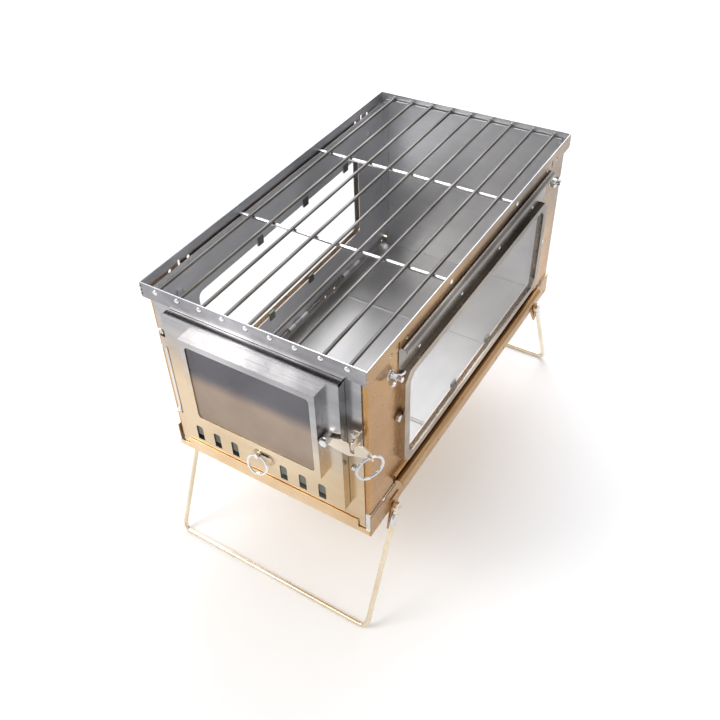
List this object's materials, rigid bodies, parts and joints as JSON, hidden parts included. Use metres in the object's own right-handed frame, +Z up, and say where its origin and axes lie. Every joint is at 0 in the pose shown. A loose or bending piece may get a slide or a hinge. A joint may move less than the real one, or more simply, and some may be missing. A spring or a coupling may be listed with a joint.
{
  "type": "folding tabletop wood stove",
  "caption": "Folding titanium camp stove: glazed body on wire legs, hinged glass door with latch and air slider, and a lift-off rod grate.",
  "frame": {"origin": "on the ground under the middle of the stove", "axes": "+X to the right as seen facing the door, +Y to the rear, +Z up"},
  "size_m": [0.255, 0.468, 0.338],
  "materials": {
    "titanium_sheet": "satin",
    "titanium_rod": "satin",
    "steel_hardware": "gloss",
    "window_glass": "gloss"
  },
  "bodies": {
    "stove": {"base_tray": "titanium_sheet", "right_fold_rod": "titanium_rod", "left_fold_rod": "titanium_rod", "front_panel": "titanium_sheet", "rear_panel": "titanium_sheet", "hinge_ears": "titanium_sheet", "front_rivets": "steel_hardware", "hinge_rod": "titanium_rod", "catch_tongue": "titanium_sheet", "latch_stop": "steel_hardware", "leg_brackets": "titanium_sheet", "leg_pivot_pins": "steel_hardware"},
    "door": {"door_plate": "titanium_sheet", "door_glass_frame": "titanium_sheet", "door_glass": "window_glass", "door_glass_clips": "titanium_sheet", "latch_bolt": "steel_hardware", "latch_washers": "steel_hardware", "slider_guides": "titanium_sheet"},
    "latch": {"latch_lever": "titanium_sheet"},
    "latch_ring": {"latch_ring": "steel_hardware"},
    "air_inlet": {"air_slider": "titanium_sheet", "slider_post": "steel_hardware"},
    "pull_ring": {"pull_ring": "steel_hardware"},
    "right_side": {"right_panel": "titanium_sheet", "right_window_frame": "titanium_sheet", "right_glass": "window_glass", "right_glass_clips": "titanium_sheet", "right_top_rail": "titanium_sheet", "right_rail_rivets": "steel_hardware", "right_wing_studs": "steel_hardware", "right_wing_washers": "steel_hardware", "right_small_screws": "steel_hardware"},
    "left_side": {"left_panel": "titanium_sheet", "left_window_frame": "titanium_sheet", "left_glass": "window_glass", "left_glass_clips": "titanium_sheet", "left_top_rail": "titanium_sheet", "left_rail_rivets": "steel_hardware", "left_wing_studs": "steel_hardware", "left_wing_washers": "steel_hardware", "left_small_screws": "steel_hardware"},
    "grate": {"front_band": "titanium_sheet", "rear_band": "titanium_sheet", "right_band": "titanium_sheet", "left_band": "titanium_sheet", "long_rods": "titanium_rod", "cross_rods": "titanium_rod"},
    "front_legs": {"front_leg": "titanium_rod", "front_ferrules": "titanium_rod"},
    "rear_legs": {"rear_leg": "titanium_rod", "rear_ferrules": "titanium_rod"},
    "right_front_nut": {"right_front_wing_nut": "steel_hardware"},
    "right_rear_nut": {"right_rear_wing_nut": "steel_hardware"},
    "left_front_nut": {"left_front_wing_nut": "steel_hardware"},
    "left_rear_nut": {"left_rear_wing_nut": "steel_hardware"}
  },
  "joints": [
    {"name": "grate_lift", "type": "slide", "parent": "stove", "child": "grate", "axis": [0, 0, 1], "range_m": [0, 0.05]},
    {"name": "door_swing", "type": "hinge", "parent": "stove", "child": "door", "pos_m": [-0.098, -0.214, 0.24], "axis": [0, 0, -1], "range_deg": [0, 120]},
    {"name": "latch_turn", "type": "hinge", "parent": "door", "child": "latch", "pos_m": [0.08, -0.22165, 0.252], "axis": [0, 1, 0], "range_deg": [0, 70]},
    {"name": "latch_ring_hang", "type": "hinge", "parent": "latch", "child": "latch_ring", "pos_m": [0.1224, -0.22165, 0.2554], "axis": [0, 1, 0], "range_deg": [-70, 0]},
    {"name": "air_slide", "type": "slide", "parent": "door", "child": "air_inlet", "axis": [1, 0, 0], "range_m": [0, 0.009]},
    {"name": "pull_ring_swing", "type": "hinge", "parent": "air_inlet", "child": "pull_ring", "pos_m": [0.0005, -0.2218, 0.186], "axis": [-1, 0, 0], "range_deg": [0, 70]},
    {"name": "right_side_fold", "type": "hinge", "parent": "stove", "child": "right_side", "pos_m": [0.1105, 0, 0.154], "axis": [0, -1, 0], "range_deg": [0, 90]},
    {"name": "left_side_fold", "type": "hinge", "parent": "stove", "child": "left_side", "pos_m": [-0.1105, 0, 0.139], "axis": [0, 1, 0], "range_deg": [0, 90]},
    {"name": "front_leg_fold", "type": "hinge", "parent": "stove", "child": "front_legs", "pos_m": [0, -0.1705, 0.1306], "axis": [1, 0, 0], "range_deg": [0, 112]},
    {"name": "rear_leg_fold", "type": "hinge", "parent": "stove", "child": "rear_legs", "pos_m": [0, 0.1705, 0.1306], "axis": [-1, 0, 0], "range_deg": [0, 112]},
    {"name": "right_front_nut_turn", "type": "hinge", "parent": "right_side", "child": "right_front_nut", "pos_m": [0.117, -0.172, 0.301], "axis": [1, 0, 0], "continuous": true},
    {"name": "right_rear_nut_turn", "type": "hinge", "parent": "right_side", "child": "right_rear_nut", "pos_m": [0.117, 0.172, 0.301], "axis": [1, 0, 0], "continuous": true},
    {"name": "left_front_nut_turn", "type": "hinge", "parent": "left_side", "child": "left_front_nut", "pos_m": [-0.117, -0.172, 0.301], "axis": [-1, 0, 0], "continuous": true},
    {"name": "left_rear_nut_turn", "type": "hinge", "parent": "left_side", "child": "left_rear_nut", "pos_m": [-0.117, 0.172, 0.301], "axis": [-1, 0, 0], "continuous": true}
  ],
  "couplings": [
    {"joint": "latch_ring_hang", "follows": "latch_turn", "ratio": -1}
  ]
}
